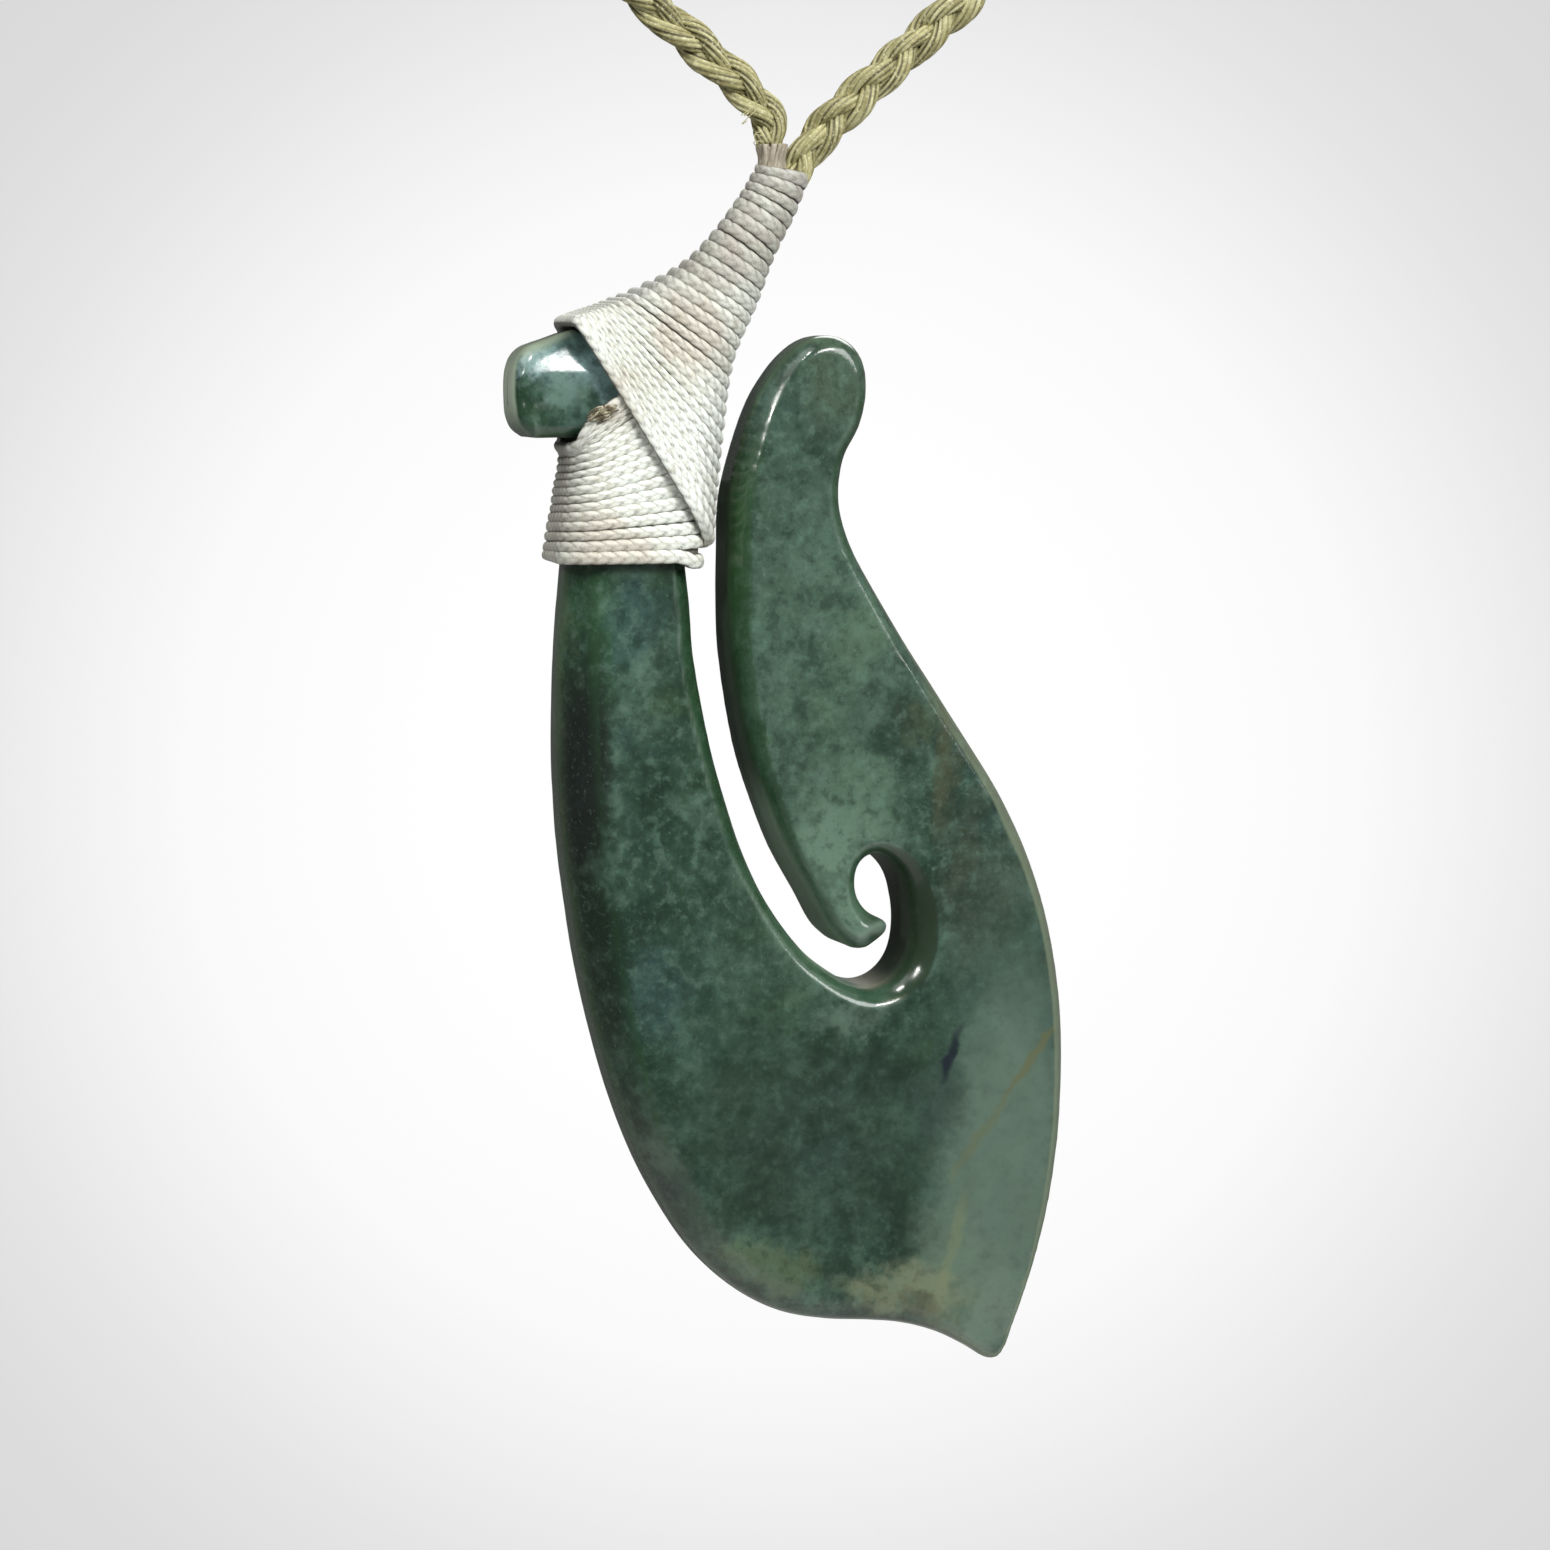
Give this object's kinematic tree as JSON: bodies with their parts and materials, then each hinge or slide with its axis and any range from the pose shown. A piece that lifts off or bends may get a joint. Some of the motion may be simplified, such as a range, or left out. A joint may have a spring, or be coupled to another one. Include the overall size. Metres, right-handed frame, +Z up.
{
  "type": "hook pendant necklace",
  "caption": "Carved green-stone fish-hook pendant with a bound shank and a curled inner spur, hung on a looped plaited neck cord.",
  "frame": {"origin": "the middle of the cord at the back of the neck, where the loop rests on its wearer", "axes": "+Z up, the pendant hangs towards -Z and its front face looks along -Y, +X to the right of the front view"},
  "size_m": [0.1512, 0.1524, 0.3004],
  "materials": {
    "jade": "polished",
    "thread": "satin",
    "root_wrap": "matte",
    "plait": "matte"
  },
  "bodies": {
    "root": {"hook": "jade", "shank_whipping": "thread", "neck_whipping": "thread", "leg_collar": "root_wrap", "neck_cord": "plait"}
  },
  "joints": []
}
